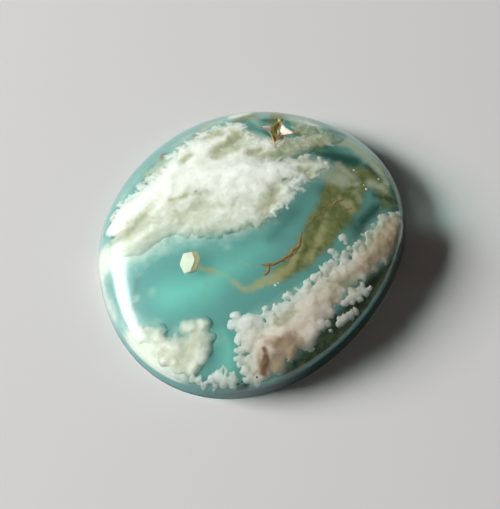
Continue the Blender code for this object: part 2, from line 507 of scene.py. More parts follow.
def glassSkinMaterial():
    material, tree, shader = newMaterial("polishedChalcedony")
    shader.inputs["Base Color"].default_value = skin["tint"]
    shader.inputs["Roughness"].default_value = skin["roughness"]
    shader.inputs["IOR"].default_value = skin["bending"]
    shader.inputs["Transmission Weight"].default_value = 1.0
    shader.inputs["Coat Weight"].default_value = 1.0
    shader.inputs["Coat Roughness"].default_value = skin["coatRoughness"]
    shader.inputs["Coat IOR"].default_value = skin["bending"]
    # light reaches the inside as if through a tinted pane
    clear = tree.nodes.new("ShaderNodeBsdfTransparent")
    clear.inputs["Color"].default_value = skin["tint"]
    path = tree.nodes.new("ShaderNodeLightPath")
    mix = tree.nodes.new("ShaderNodeMixShader")
    tree.links.new(path.outputs["Is Shadow Ray"], mix.inputs["Fac"])
    tree.links.new(shader.outputs["BSDF"], mix.inputs[1])
    tree.links.new(clear.outputs["BSDF"], mix.inputs[2])
    tree.links.new(mix.outputs["Shader"], tree.nodes["Material Output"].inputs["Surface"])
    volume = tree.nodes.new("ShaderNodeVolumeAbsorption")
    volume.inputs["Color"].default_value = skin["absorb"]
    volume.inputs["Density"].default_value = skin["density"]
    tree.links.new(volume.outputs["Volume"], tree.nodes["Material Output"].inputs["Volume"])
    return material


def makeSkin():
    piece = linked("agate_skin", mergedCopy("agate_skin"))
    rounded(piece, skin["levels"])
    dress(piece.data, glassSkinMaterial())
    partOfStone(piece)
    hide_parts("agate_cabochon")


# the milky body under the skin, where the stone is too cloudy to see further in
body = {
    "acrossShare": 0.985,
    "depth": 2.0,
    "fullDepthAt": 4,
    "rimPower": 6,
    "lift": 0.2,
    "levels": 2,
    "roughness": 0.8,
    "specular": 0.1,
    "wallTop": 2.1,
    "litWallTop": 0.45,
    "wallFade": 0.6,
    "unlitSide": (0.82, -0.57),
    "unlitMiddle": 0.55,
    "unlitSpan": 36,
    "backFrom": 2 / 3,
    "backPale": 0.7,
}


def bodyMaterial():
    material, tree, shader = newMaterial("milkyTeal")
    tree.links.new(seaColourIn(tree), shader.inputs["Base Color"])
    shader.inputs["Roughness"].default_value = body["roughness"]
    shader.inputs["Specular IOR Level"].default_value = body["specular"]
    return material


def wallShare(mesh):
    # the wall shows deeper water, partly painted shade: it is darkest on the side away from the window,
    # lower and less where the window lights it, and little of it on the back
    spots = spotsOf(mesh) / mm
    across, up = (spots[:, :2] @ np.array(planTurn)).T
    acrossShare, upShare = body["unlitSide"]
    unlit = body["unlitMiddle"] + (acrossShare * across + upShare * up) / body["unlitSpan"]
    unlit = np.clip(unlit, 0, 1)
    top = body["wallTop"] * (body["litWallTop"] + (1 - body["litWallTop"]) * unlit)
    low = np.clip((top - spots[:, 2]) / body["wallFade"], 0, 1)
    down = np.array([-vertex.normal.z for vertex in mesh.vertices])
    back = np.clip((down - body["backFrom"]) / (1 - body["backFrom"]), 0, 1)
    return low * unlit * (1 - body["backPale"] * back)


def makeBody():
    piece = linked("agate_body", mergedCopy("agate_body"))
    piece.data.transform(Matrix.Diagonal((body["acrossShare"], body["acrossShare"], 1, 1)))
    rim = max(math.hypot(vertex.co.x, vertex.co.y) for vertex in piece.data.vertices)
    for vertex in piece.data.vertices:
        # deep under the crown, close under the wall
        out = math.hypot(vertex.co.x, vertex.co.y) / rim
        crown = min(vertex.co.z / (body["fullDepthAt"] * mm), 1)
        sink = body["depth"] * mm * (1 - out ** body["rimPower"]) * crown
        vertex.co.z = max(vertex.co.z - sink, body["lift"] * mm)
    rounded(piece, body["levels"])
    mesh = bakeModifiers(piece)
    stain(mesh, stains)
    addShare(mesh, "wall", wallShare(mesh))
    dress(mesh, bodyMaterial())
    partOfStone(piece)
    return surfaceTree(mesh)


makeSkin()
bodySurface = makeBody()
print("skin and body made")


# the plumes: clouds of lumps that bud smaller lumps, with feathers that thin out and fork at the fringe.
# Mass strokes and knobs are (across, up, half-width, depth), and feather roots are (across, up, heading,
# reach, depth)
plumes = {
    "plume_bank_left": {
        "seed": 3,
        "mass": [
            [
                (-16.2, 0.6, 1.0, 0.25), (-14.6, 2.0, 1.8, 0.25), (-12.2, 3.6, 2.4, 0.35),
                (-9.4, 5.2, 2.8, 0.4), (-6.6, 6.6, 2.8, 0.4),
            ],
            [
                (-15.8, -1.8, 1.4, 0.9), (-13.4, -1.2, 2.2, 1.1), (-11.2, 0.2, 2.3, 1.2),
                (-9.2, 1.2, 2.6, 1.25), (-6.0, 0.9, 2.9, 1.25),
            ],
        ],
        "knobs": [
            (-15.6, 3.4, 0.4, 0.35), (-13.8, 5.0, 0.5, 0.35), (-12.6, 6.2, 0.45, 0.35),
            (-11.4, 7.4, 0.5, 0.4), (-10.2, 8.3, 0.45, 0.4), (-8.4, 5.2, 0.7, 0.35),
            (-11.6, 4.4, 0.6, 0.3), (-14.4, 2.4, 0.6, 0.3), (-6.3, 3.8, 1.0, 0.55),
        ],
        "feathers": [
            (-16.0, 2.0, 165, 0.8, 0.4), (-14.8, 3.4, 150, 1.0, 0.4), (-12.8, 5.0, 140, 1.2, 0.4),
            (-10.8, 6.8, 132, 1.2, 0.4), (-9.6, 8.2, 130, 1.2, 0.4),
        ],
        "tips": (0.12, 0.24),
    },
    "plume_bank_middle": {
        "seed": 5,
        "mass": [
            [
                (-6.6, 6.6, 2.8, 0.4), (-3.4, 6.8, 2.8, 0.3), (0.0, 6.8, 2.4, 0.25),
                (3.0, 7.0, 1.8, 0.3), (6.0, 7.8, 1.2, 0.35), (8.4, 8.8, 0.7, 0.5),
            ],
            [
                (-6.0, 0.8, 3.1, 1.2), (-2.6, 1.0, 2.7, 1.05), (0.6, 1.6, 2.2, 0.8),
                (2.8, 3.0, 1.6, 0.7), (4.4, 4.8, 1.0, 0.5),
            ],
            [(-4.6, 4.2, 1.8, 0.7), (-1.0, 4.4, 1.8, 0.55), (2.2, 4.8, 1.6, 0.4)],
        ],
        "knobs": [
            (3.2, 2.2, 0.5, 0.6), (4.4, 3.0, 0.5, 0.5), (4.6, 4.2, 0.5, 0.4), (5.4, 5.0, 0.45, 0.4),
            (6.2, 5.8, 0.45, 0.45), (7.4, 6.8, 0.45, 0.5), (8.6, 7.8, 0.45, 0.5), (9.6, 8.8, 0.45, 0.5),
            (8.8, 9.6, 0.4, 0.45), (7.4, 9.0, 0.5, 0.4), (5.8, 8.8, 0.5, 0.35), (4.6, 8.2, 0.5, 0.3),
            (1.4, 1.2, 0.5, 0.9), (-1.2, 6.6, 0.8, 0.2), (2.4, 8.0, 0.7, 0.25), (-4.4, 6.0, 0.7, 0.3),
            (1.2, 4.8, 0.7, 0.4), (2.8, 5.6, 0.6, 0.35),
        ],
        "feathers": [
            (2.6, 1.4, 310, 0.8, 0.7), (3.4, 2.4, 335, 1.0, 0.5), (4.2, 3.8, 350, 1.2, 0.5),
            (5.4, 5.6, 358, 1.4, 0.5), (6.8, 7.0, 365, 1.6, 0.5), (8.4, 8.6, 385, 1.4, 0.5),
            (7.0, 8.8, 425, 1.0, 0.5), (4.0, 8.2, 450, 0.8, 0.4),
        ],
        "tips": (0.14, 0.28),
    },
    "plume_bank_crest": {
        "seed": 8,
        "mass": [
            [
                (-9.8, 7.4, 1.4, 0.5), (-8.0, 9.2, 1.8, 0.5), (-5.6, 11.2, 2.0, 0.5),
                (-3.2, 13.0, 1.7, 0.45), (-1.0, 14.6, 1.2, 0.45),
            ],
            [
                (-4.4, 8.8, 1.4, 0.7), (-1.2, 10.4, 1.3, 0.5), (2.6, 10.7, 1.2, 0.5),
                (6.0, 11.5, 0.9, 0.6), (9.6, 12.7, 0.7, 0.6), (11.8, 13.6, 0.5, 0.4),
            ],
            [
                (-9.0, 7.2, 1.5, 0.7), (-5.6, 8.8, 1.8, 0.8), (-2.0, 9.4, 1.6, 0.8),
                (1.2, 9.0, 1.2, 0.8), (4.0, 9.4, 0.6, 0.9),
            ],
            [(2.0, 9.6, 0.8, 0.8), (5.0, 10.0, 0.6, 0.9), (8.0, 11.4, 0.5, 1.0)],
        ],
        "knobs": [
            (-8.8, 9.8, 0.45, 0.4), (-7.8, 11.0, 0.45, 0.4), (-6.6, 12.2, 0.45, 0.4),
            (-5.0, 13.4, 0.45, 0.4), (-3.4, 14.6, 0.4, 0.4), (-0.4, 9.4, 0.5, 0.4),
            (-2.8, 12.8, 0.5, 0.35), (-5.0, 10.6, 0.6, 0.4), (-4.4, 8.2, 0.6, 0.4), (3.2, 11.4, 0.4, 0.35),
            (4.8, 11.8, 0.4, 0.35), (6.6, 12.2, 0.4, 0.4), (8.4, 12.8, 0.4, 0.4), (10.2, 13.4, 0.35, 0.5),
            (11.4, 14.0, 0.3, 0.5),
        ],
        "feathers": [
            (-9.0, 9.6, 132, 1.0, 0.4), (-7.4, 11.2, 128, 1.1, 0.4), (-5.4, 12.8, 122, 1.2, 0.4),
            (-3.0, 14.2, 115, 1.0, 0.4), (-1.0, 15.0, 100, 0.8, 0.4), (0.2, 12.6, 70, 0.9, 0.5),
            (2.6, 11.2, 65, 1.0, 0.4), (6.0, 12.0, 50, 1.2, 0.4), (9.4, 13.0, 30, 1.3, 0.5),
        ],
        "tips": (0.12, 0.22),
    },
    "plume_right_upper": {
        "seed": 11,
        "mass": [
            [
                (18.2, 2.2, 1.2, 0.3), (17.1, -0.2, 1.5, 0.25), (15.3, -2.6, 1.6, 0.3),
                (12.9, -5.0, 1.5, 0.3), (10.9, -6.8, 1.6, 0.3),
            ],
            [(18.0, -0.4, 0.8, 0.4), (16.6, -3.0, 0.7, 0.45)],
        ],
        "knobs": [
            (18.3, 3.2, 0.5, 0.3), (17.5, 2.7, 0.6, 0.3), (16.7, 1.9, 0.6, 0.25), (16.1, 0.9, 0.6, 0.25),
            (15.4, -0.3, 0.6, 0.25), (14.5, -1.4, 0.6, 0.25), (13.7, -2.5, 0.5, 0.25),
            (12.9, -3.6, 0.6, 0.25), (12.0, -2.8, 0.4, 0.2), (11.5, -2.2, 0.38, 0.2),
            (11.3, -1.6, 0.6, 0.2), (11.4, -4.4, 0.6, 0.25),
            (10.5, -3.8, 0.4, 0.2), (9.9, -3.5, 0.5, 0.2), (9.9, -4.8, 0.5, 0.25), (9.2, -5.6, 0.7, 0.25),
            (8.4, -6.3, 0.5, 0.25), (7.8, -6.9, 0.6, 0.25), (18.2, 0.6, 0.6, 0.4), (17.4, -1.8, 0.7, 0.4),
            (16.4, -3.4, 0.7, 0.4), (15.0, -4.8, 0.7, 0.4), (13.6, -6.0, 0.6, 0.4),
        ],
        "feathers": [(17.0, 2.3, 120, 0.3, 0.3), (13.6, -2.2, 125, 0.3, 0.3), (8.8, -6.4, 135, 0.4, 0.3)],
        "tips": (0.12, 0.2),
    },
    "plume_right_lower": {
        "seed": 14,
        "mass": [
            [
                (10.6, -6.8, 1.7, 0.3), (8.8, -9.2, 2.0, 0.3), (6.6, -11.4, 2.1, 0.3),
                (4.2, -13.4, 2.2, 0.3), (2.4, -15.6, 2.1, 0.3), (1.4, -17.2, 1.4, 0.35),
            ],
        ],
        "knobs": [
            (7.0, -7.7, 0.6, 0.25), (6.6, -8.6, 0.6, 0.25), (6.0, -9.3, 0.6, 0.25), (5.4, -9.7, 0.5, 0.2),
            (4.8, -9.2, 0.6, 0.2), (4.8, -10.6, 0.7, 0.25), (3.9, -11.4, 0.6, 0.25), (3.4, -10.9, 0.6, 0.2),
            (2.9, -12.0, 0.6, 0.25), (2.1, -11.6, 0.5, 0.25), (2.1, -10.8, 0.5, 0.2),
            (1.3, -12.4, 0.9, 0.25), (0.4, -12.0, 0.7, 0.2), (-0.3, -12.8, 1.2, 0.2),
            (-1.2, -11.8, 0.7, 0.2), (-1.6, -12.7, 0.7, 0.2), (0.4, -13.8, 1.2, 0.25),
            (-0.7, -14.0, 0.6, 0.25), (-1.0, -14.4, 0.5, 0.4), (0.0, -15.2, 0.8, 0.3),
            (-0.7, -15.6, 0.5, 0.4), (0.2, -16.6, 0.8, 0.3), (-0.4, -16.7, 0.5, 0.3),
            (-0.2, -17.6, 0.7, 0.2), (0.2, -18.4, 0.7, 0.15), (1.2, -18.6, 0.7, 0.15),
            (2.1, -17.8, 0.9, 0.2), (6.9, -13.7, 1.5, 0.2), (7.8, -13.0, 0.8, 0.25),
            (8.6, -12.2, 0.7, 0.3), (9.4, -12.0, 0.5, 0.3), (9.7, -12.7, 0.35, 0.3),
            (9.6, -10.6, 0.7, 0.35), (10.4, -9.2, 0.6, 0.35), (11.4, -7.8, 0.6, 0.35),
            (5.0, -15.4, 1.1, 0.3), (3.6, -17.0, 1.1, 0.25),
        ],
        "feathers": [
            (6.8, -8.2, 130, 0.6, 0.3), (3.6, -11.6, 115, 0.6, 0.3), (-0.6, -14.8, 180, 0.5, 0.3),
            (0.0, -17.4, 200, 0.5, 0.3),
        ],
        "tips": (0.14, 0.26),
    },
    "plume_left": {
        "seed": 17,
        "mass": [
            [(-5.2, -14.0, 1.4, 1.0), (-6.0, -15.6, 1.8, 0.75), (-6.6, -17.0, 1.4, 0.55)],
            [
                (-12.6, -12.6, 1.0, 0.75), (-10.6, -14.2, 1.5, 0.65), (-8.8, -15.6, 1.6, 0.6),
                (-7.0, -17.0, 1.2, 0.45),
            ],
        ],
        "knobs": [
            (-5.2, -12.7, 1.4, 1.2), (-6.8, -13.0, 1.4, 1.0), (-4.6, -14.2, 1.2, 1.1),
            (-4.8, -15.6, 1.0, 0.9), (-6.2, -14.6, 1.5, 0.8), (-7.6, -14.2, 1.2, 1.1),
            (-5.4, -16.2, 1.0, 0.6), (-10.2, -13.2, 1.3, 1.0), (-11.8, -12.8, 1.2, 0.85),
            (-12.6, -13.6, 0.8, 0.6), (-10.6, -15.0, 1.1, 0.5), (-8.8, -15.2, 1.3, 0.6),
            (-9.6, -16.2, 0.8, 0.4), (-7.8, -17.0, 1.0, 0.3), (-6.4, -17.5, 0.9, 0.25),
            (-6.2, -18.3, 0.5, 0.12), (-5.5, -18.5, 0.6, 0.12), (-4.8, -18.9, 0.5, 0.12),
            (-4.0, -18.5, 0.6, 0.12), (-3.2, -18.3, 0.7, 0.12), (-2.4, -18.5, 0.8, 0.12),
            (-1.5, -18.6, 0.7, 0.12), (-2.6, -19.0, 0.6, 0.12), (-3.6, -19.1, 0.5, 0.12),
            (-1.6, -19.0, 0.5, 0.12),
        ],
        "feathers": [
            (-3.0, -18.0, 110, 0.4, 0.2), (-2.4, -18.0, 80, 0.4, 0.2), (-1.4, -18.2, 20, 0.4, 0.2),
        ],
        "tips": (0.12, 0.24),
    },
    "plume_satellites": {
        "seed": 21,
        "mass": [
            [(11.6, -9.2, 0.4, 0.3), (12.6, -8.3, 0.7, 0.25), (13.7, -7.5, 0.5, 0.25)],
            [(10.8, -11.6, 0.6, 0.25), (12.4, -10.3, 0.5, 0.25)],
        ],
        "knobs": [
            (11.3, -9.4, 0.6, 0.3), (12.2, -9.1, 0.6, 0.25), (12.3, -7.9, 0.5, 0.25),
            (13.2, -8.6, 0.5, 0.25), (13.9, -7.7, 0.6, 0.25), (13.5, -7.0, 0.45, 0.25),
            (14.4, -7.1, 0.4, 0.3), (10.8, -11.8, 0.5, 0.35), (11.6, -11.0, 0.45, 0.35),
            (12.2, -10.8, 0.4, 0.35), (12.8, -10.1, 0.5, 0.35),
        ],
        "feathers": [(12.0, -8.8, 150, 0.4, 0.3), (13.4, -7.4, 60, 0.4, 0.3)],
        "tips": (0.12, 0.22),
    },
    "plume_wisp": {
        "seed": 25,
        "mass": [[(6.0, 15.0, 0.8, 0.7), (7.6, 14.5, 1.2, 0.8), (9.4, 13.7, 0.8, 0.8)]],
        "knobs": [(6.8, 15.4, 0.7, 0.6), (8.4, 14.6, 0.6, 0.7), (10.4, 13.6, 0.6, 0.6)],
        "feathers": [(6.4, 15.6, 60, 0.8, 0.7), (8.4, 14.6, 50, 0.8, 0.7), (10.2, 13.6, 20, 0.6, 0.7)],
        "tips": (0.12, 0.22),
    },
}
cloud = {
    "knobLength": 0.1,
    "lumpShare": (0.3, 0.5),
    "biggest": 0.9,
    "finest": 0.16,
    "buds": 7,
    "budShare": (0.4, 0.62),
    "budAside": 0.85,
    "cover": 2.6,
    "fall": 0.4,
    "steepBelow": 0.6,
    "steepFall": 1.1,
    "blend": 0.06,
    "bigFrom": 0.2,
    "bigSink": 0.3,
    "hollowDepth": 0.4,
    "rolls": [(0.25, 2.2), (0.16, 0.9), (0.08, 0.4)],
    "voxel": 0.1,
    "softening": 5,
}
feather = {
    "spacing": 0.22,
    "rootSpread": 0.6,
    "headingSpread": 35,
    "reachShare": (0.3, 1.2),
    "sink": 0.2,
    "size": (0.14, 0.26),
    "finest": 0.11,
    "thinning": 0.97,
    "step": 0.7,
    "sway": 0.35,
    "ripple": 0.05,
    "forking": 0.55,
    "forkTurn": (0.5, 1.2),
    "forkReach": 0.45,
    "forkSize": 0.8,
    "forkTip": 0.7,
    "tipBuds": 5,
    "budTurn": 1.8,
    "budAside": 0.8,
    "budShare": (0.5, 0.7),
}
joining = {"leastDepth": 0.12, "crumb": 50}


def between(start, end, part):
    return [a + (b - a) * part for a, b in zip(start, end)]


def eitherWay(chance, most):
    return chance.uniform(-most, most)


def heads(turn):
    return Vector((math.cos(turn), math.sin(turn)))


def strokesOf(plan):
    # a knob is a short stroke
    strokes = list(plan["mass"])
    for across, up, radius, depth in plan["knobs"]:
        strokes.append([(across, up, radius, depth), (across + cloud["knobLength"], up, radius, depth)])
    return strokes


def cloudDepth(places):
    # one rolling surface for all the clouds: it is highest along each stroke and sinks away from it,
    # and the edges of the deep strokes sink out of sight
    height = np.full(len(places), 1e-30)  # next to nothing, so that it always has a logarithm
    for plan in plumes.values():
        for stroke in strokesOf(plan):
            for (ax, ay, aHalf, aDepth), (bx, by, bHalf, bDepth) in zip(stroke, stroke[1:]):
                start = np.array((ax, ay))
                along = np.array((bx, by)) - start
                part = np.clip((places - start) @ along / (along @ along), 0, 1)
                apart = np.linalg.norm(places - start - part[:, None] * along, axis=1)
                out = apart / (aHalf + part * (bHalf - aHalf))
                depth = aDepth + part * (bDepth - aDepth)
                fall = cloud["fall"] + cloud["steepFall"] * np.maximum(depth - cloud["steepBelow"], 0)
                height += np.exp(-(depth + fall * out**2) / cloud["blend"])
    return -cloud["blend"] * np.log(height)


def growLump(lumps, chance, place, size):
    lumps.append((place.x, place.y, size))
    if size < cloud["finest"]:
        return
    for _ in range(cloud["buds"]):
        aside = place + heads(chance.uniform(0, 2 * math.pi)) * cloud["budAside"] * size
        growLump(lumps, chance, aside, size * chance.uniform(*cloud["budShare"]))


def fillStroke(lumps, chance, stroke):
    for start, end in zip(stroke, stroke[1:]):
        usual = between(start, end, 0.5)[2] * sum(cloud["lumpShare"]) / 2
        area = math.dist(start[:2], end[:2]) * (start[2] + end[2]) + 0.5 * math.pi * start[2] * end[2]
        for _ in range(round(cloud["cover"] * area / (math.pi * usual * usual))):
            across, up, half, _ = between(start, end, chance.random())
            size = min(half * chance.uniform(*cloud["lumpShare"]), cloud["biggest"])
            turn = chance.uniform(0, 2 * math.pi)
            off = (half - size) * math.sqrt(chance.random())
            place = Vector((across + off * math.cos(turn), up + off * math.sin(turn)))
            growLump(lumps, chance, place, size)


def growFeather(dots, chance, place, heading, reach, size, depth, tip):
    side = chance.choice((-1, 1))
    while reach > 0:
        dots.append((place.x, place.y, depth + eitherWay(chance, feather["ripple"]), size))
        heading += chance.gauss(0, feather["sway"])
        step = size * feather["step"]
        place = place + step * heads(heading)
        reach -= step
        size = max(size * feather["thinning"], feather["finest"])
        if chance.random() < feather["forking"]:
            side = -side
            aside = heading + side * chance.uniform(*feather["forkTurn"])
            forkReach = reach * feather["forkReach"]
            forkSize = size * feather["forkSize"]
            growFeather(dots, chance, place, aside, forkReach, forkSize, depth, tip * feather["forkTip"])
    dots.append((place.x, place.y, depth, tip))
    for _ in range(feather["tipBuds"]):
        aside = place + heads(heading + eitherWay(chance, feather["budTurn"])) * feather["budAside"] * tip
        dots.append((aside.x, aside.y, depth, tip * chance.uniform(*feather["budShare"])))


def rolled(dots):
    # lowers the hollows, and rolls the rest in low hills and small billows
    hollows = strokeShare(np.array([dot[:2] for dot in dots]), stains["hollow"])
    result = []
    for (across, up, depth, size), hollow in zip(dots, hollows):
        spot = Vector((across, up, 0))
        depth += cloud["hollowDepth"] * hollow
        for height, width in cloud["rolls"]:
            depth += height * noise.noise(spot / width)
        result.append((across, up, depth, size))
    return result


def growPlume(plan):
    chance = random.Random(plan["seed"])
    lumps = []
    for stroke in strokesOf(plan):
        fillStroke(lumps, chance, stroke)
    dots = []
    for (across, up, size), depth in zip(lumps, cloudDepth(np.array([lump[:2] for lump in lumps]))):
        # big lumps fill a cloud from below, and the small ones that bud from them make its surface
        sink = cloud["bigSink"] * max(size - cloud["bigFrom"], 0)
        dots.append((across, up, depth + sink, size))
    for start, end in zip(plan["feathers"], plan["feathers"][1:]):
        count = max(1, round(math.dist(start[:2], end[:2]) / feather["spacing"]))
        for number in range(count):
            across, up, heading, reach, depth = between(start, end, number / count)
            across += eitherWay(chance, feather["rootSpread"])
            up += eitherWay(chance, feather["rootSpread"])
            turn = math.radians(heading + eitherWay(chance, feather["headingSpread"]))
            size = chance.uniform(*feather["size"])
            tip = chance.uniform(*plan["tips"])
            depth += chance.uniform(0, feather["sink"])
            reach *= chance.uniform(*feather["reachShare"])
            growFeather(dots, chance, Vector((across, up)), turn, reach, size, depth, tip)
    return rolled(dots)


def lumpNodes(name, voxel):
    # turns every loose point into a lump of its own size, and joins them in one surface
    tree = bpy.data.node_groups.new(name, "GeometryNodeTree")
    tree.interface.new_socket("Points", in_out="INPUT", socket_type="NodeSocketGeometry")
    tree.interface.new_socket("Surface", in_out="OUTPUT", socket_type="NodeSocketGeometry")
    start = tree.nodes.new("NodeGroupInput")
    end = tree.nodes.new("NodeGroupOutput")
    size = tree.nodes.new("GeometryNodeInputNamedAttribute")
    size.inputs["Name"].default_value = "size"
    points = tree.nodes.new("GeometryNodeMeshToPoints")
    fill = tree.nodes.new("GeometryNodePointsToVolume")
    fill.resolution_mode = "VOXEL_SIZE"
    fill.inputs["Voxel Size"].default_value = voxel * mm
    surface = tree.nodes.new("GeometryNodeVolumeToMesh")
    smooth = tree.nodes.new("GeometryNodeSetShadeSmooth")
    tree.links.new(start.outputs[0], points.inputs["Mesh"])
    tree.links.new(size.outputs["Attribute"], points.inputs["Radius"])
    tree.links.new(points.outputs["Points"], fill.inputs["Points"])
    tree.links.new(size.outputs["Attribute"], fill.inputs["Radius"])
    tree.links.new(fill.outputs["Volume"], surface.inputs["Volume"])
    tree.links.new(surface.outputs["Mesh"], smooth.inputs["Geometry"])
    tree.links.new(smooth.outputs["Geometry"], end.inputs[0])
    return tree


def dropCrumbs(mesh):
    # removes the loose crumbs that joining the lumps leaves behind
    shape = bmesh.new()
    shape.from_mesh(mesh)
    left = set(shape.verts)
    crumbs = []
    while left:
        border = [left.pop()]
        island = []
        while border:
            vertex = border.pop()
            island.append(vertex)
            near = {edge.other_vert(vertex) for edge in vertex.link_edges} & left
            left -= near
            border.extend(near)
        if len(island) < joining["crumb"]:
            crumbs.extend(island)
    bmesh.ops.delete(shape, geom=crumbs, context="VERTS")
    shape.to_mesh(mesh)
    shape.free()


def joinDots(name, dots, nodes, softening):
    # dots are (across, up, depth of the top, size), in millimetres
    shape = bmesh.new()
    sizes = shape.verts.layers.float.new("size")
    for across, up, depth, size in dots:
        spot = sunkBelow(across, up, max(depth, joining["leastDepth"]) + size)
        if spot is not None:
            dot = shape.verts.new(spot)
            dot[sizes] = size * mm
    piece = linked(name, meshFrom(shape, name))
    joined = piece.modifiers.new("lumps", "NODES")
    joined.node_group = nodes
    soft = piece.modifiers.new("soften", "SMOOTH")
    soft.iterations = softening
    dropCrumbs(bakeModifiers(piece))
    partOfStone(piece)
    print(name, len(dots), "dots", 2 * len(piece.data.polygons), "triangles")
    return piece


def fogOn(mesh):
    # how near each spot is to the body, from 0 at the polish to 1 on it,
    # and how far it leans from the polish, which the plumes' colour darkens as painted shade
    fog = []
    steep = []
    for vertex in mesh.vertices:
        top, normal = dropOn(polish, vertex.co)
        bottom, _ = dropOn(bodySurface, vertex.co)
        if top is None or bottom is None:
            fog.append(0)
            steep.append(0)
        else:
            fog.append(min(max((top.z - vertex.co.z) / (top.z - bottom.z), 0), 1))
            steep.append(min(1 - vertex.normal.dot(normal), 1))
    addShare(mesh, "fog", fog)
    addShare(mesh, "steep", steep)


# the plumes' white stone, and the stains and painted shade on it
plumeLook = {
    "fine": (800, 5, 0.3),
    "wide": (260, 3, 0.3),
    "white": (0.81, 0.79, 0.75, 1),
    # the right-hand plumes' rose, partly painted shade
    "roseAndShade": (0.80, 0.70, 0.62, 1),
    "stains": {
        # tan, partly painted shade on the right-hand plume
        "tanAndShade": {"edge": (1.1, 0.2, 1.1, 1), "colour": (0.48, 0.36, 0.25, 1)},
        "umber": {"edge": (1.1, 0.2, 0.9, 1), "colour": (0.26, 0.15, 0.07, 1)},
        "cream": {"edge": (1.2, 0.1, 1.05, 1), "colour": (0.56, 0.54, 0.42, 1)},
        "olive": {"edge": (1.4, 0.4, 1.3, 0.8), "colour": (0.36, 0.37, 0.23, 1)},
    },
    "seaEdge": (0.4, 0.5, 0.95, 1),
    "hollowCreamAndShade": 0.6,
    "steepShade": 0.5,
    "roughness": 0.9,
    "specular": 0.1,
    "glow": 2.5,
}


def plumeMaterial():
    material, tree, shader = newMaterial("plumeWhite")
    fine = noiseOf(tree, *plumeLook["fine"])
    wide = noiseOf(tree, *plumeLook["wide"])
    fog = attributeOf(tree, "fog")
    hollow = attributeOf(tree, "hollow")
    # painted shade, partly the clouds' own cream and olive: hollows and steep sides are painted cream and
    # olive, and the deepest parts fade into the sea
    cream = mathOf(tree, "MULTIPLY_ADD", hollow, plumeLook["hollowCreamAndShade"], fog)
    cream = mathOf(tree, "MULTIPLY_ADD", attributeOf(tree, "steep"), plumeLook["steepShade"], cream)
    shares = {
        "tanAndShade": attributeOf(tree, "tanAndShade"),
        "umber": attributeOf(tree, "umber"),
        "cream": cream,
        "olive": hollow,
    }
    # the right-hand plumes turn a darker rose, partly as painted shade
    colour = mixColour(tree, attributeOf(tree, "roseAndShade"), plumeLook["white"], plumeLook["roseAndShade"])
    for name, share in shares.items():
        look = plumeLook["stains"][name]
        colour = layOn(tree, colour, share, fine, look["edge"], look["colour"])
    colour = layOn(tree, colour, fog, wide, plumeLook["seaEdge"], seaColourIn(tree))
    tree.links.new(colour, shader.inputs["Base Color"])
    shader.inputs["Roughness"].default_value = plumeLook["roughness"]
    shader.inputs["Specular IOR Level"].default_value = plumeLook["specular"]
    shader.inputs["Subsurface Weight"].default_value = 1.0
    shader.inputs["Subsurface Scale"].default_value = plumeLook["glow"] * mm
    shader.inputs["Subsurface Radius"].default_value = (1, 1, 1)
    return material


cloudNodes = lumpNodes("joinCloud", cloud["voxel"])
plumeWhite = plumeMaterial()
for plumeName, plumePlan in plumes.items():
    plume = joinDots(plumeName, growPlume(plumePlan), cloudNodes, cloud["softening"])
    stain(plume.data, stains)
    fogOn(plume.data)
    dress(plume.data, plumeWhite)
print("plumes grown")


# rusty threads along the olive band, as (across, up, half-width, depth)
threads = {
    "seed": 31,
    "runs": [
        [
            (1.6, -5.6, 0.07, 0.8), (2.6, -5.6, 0.18, 0.7), (3.6, -5.3, 0.16, 0.7), (4.4, -4.6, 0.20, 0.7),
            (5.3, -3.9, 0.18, 0.7), (6.0, -2.9, 0.22, 0.8), (6.4, -2.0, 0.14, 0.9), (6.5, -0.9, 0.08, 1.2),
        ],
        [(2.6, -5.6, 0.16, 0.7), (2.4, -6.3, 0.18, 0.8), (2.0, -7.0, 0.08, 0.9)],
        [(4.2, -5.2, 0.07, 0.9), (5.0, -4.7, 0.08, 0.9), (5.9, -3.5, 0.12, 0.9)],
        [(7.0, -0.5, 0.07, 1.4), (7.8, 0.8, 0.11, 1.3), (8.8, 1.9, 0.08, 1.4), (9.8, 2.7, 0.07, 1.4)],
        [(9.9, 2.8, 0.08, 1.4), (10.8, 3.5, 0.12, 1.2), (11.8, 3.9, 0.07, 1.3)],
        [(11.4, 3.1, 0.07, 1.3), (12.0, 2.6, 0.09, 1.2), (12.8, 2.8, 0.06, 1.3)],
    ],
    "spacing": 0.05,
    "wander": 0.22,
    "kinks": 2.6,
    "halfShare": (0.7, 1.2),
    "sink": 0.05,
    "voxel": 0.06,
    "softening": 2,
    "grain": (1500, 4, 0),
    "dark": (0.20, 0.10, 0.03, 1),
    "light": (0.44, 0.28, 0.12, 1),
    "roughness": 0.8,
}


def makeThreads():
    chance = random.Random(threads["seed"])
    # unseeded, the noise that sways the threads would start from the clock
    noise.seed_set(threads["seed"])
    dots = []
    for run in threads["runs"]:
        for start, end in zip(run, run[1:]):
            count = max(2, round(math.dist(start[:2], end[:2]) / threads["spacing"]))
            for number in range(count):
                across, up, half, depth = between(start, end, number / count)
                sway = noise.noise_vector(Vector((across, up, 0)) * threads["kinks"]) * threads["wander"]
                size = half * chance.uniform(*threads["halfShare"])
                depth += chance.uniform(0, threads["sink"])
                dots.append((across + sway.x, up + sway.y, depth, size))
    nodes = lumpNodes("joinThreads", threads["voxel"])
    piece = joinDots("rust_threads", dots, nodes, threads["softening"])
    dress(piece.data, mottledMaterial("rustThread", threads))


makeThreads()


